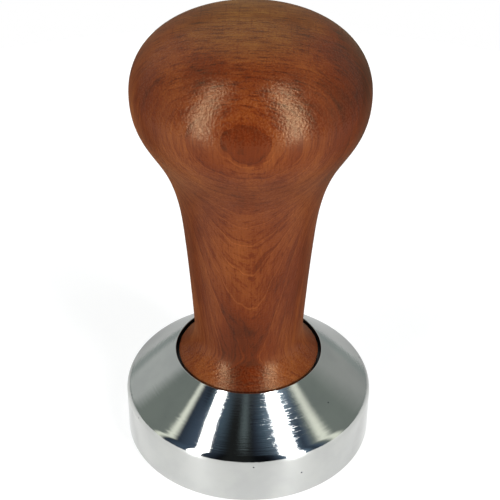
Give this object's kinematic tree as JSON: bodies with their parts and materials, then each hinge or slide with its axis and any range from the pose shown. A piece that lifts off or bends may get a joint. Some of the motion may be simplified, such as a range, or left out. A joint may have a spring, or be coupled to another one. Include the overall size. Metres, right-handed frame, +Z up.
{
  "type": "espresso tamper",
  "caption": "Espresso tamper: turned steel base with a flat sole and a cone, and a mushroom-headed hardwood handle that unscrews from it on a threaded stud.",
  "frame": {"origin": "centre of the flat sole, on the surface that the tamper stands on", "axes": "+Z up the axis that every piece is turned about, from the sole to the crown of the handle; +X and +Y across it, with no preferred direction"},
  "size_m": [0.058, 0.058, 0.105],
  "materials": {
    "polished_steel": "turned and polished stainless steel, mirror bright with fine turning marks",
    "dark_steel": "blackened steel thread, light oil",
    "black_fibre": "matt black",
    "insert_brass": "machined",
    "stained_hardwood": "red-brown stain under satin-gloss lacquer"
  },
  "bodies": {
    "base": {"tamping_base": "polished_steel", "joining_stud": "dark_steel"},
    "washer": {"seat_washer": "black_fibre"},
    "handle": {"handle": "stained_hardwood", "threaded_insert": "insert_brass"}
  },
  "joints": [
    {"name": "handle_rise", "type": "slide", "parent": "base", "child": "washer", "axis": [0, 0, 1], "range_m": [0, 0.01]},
    {"name": "handle_turn", "type": "hinge", "parent": "washer", "child": "handle", "pos_m": [0, 0, 0.0198], "axis": [0, 0, 1], "range_deg": [0, 2880]}
  ],
  "couplings": [
    {"joint": "handle_rise", "follows": "handle_turn", "m_per_rad": 0.00019894}
  ]
}
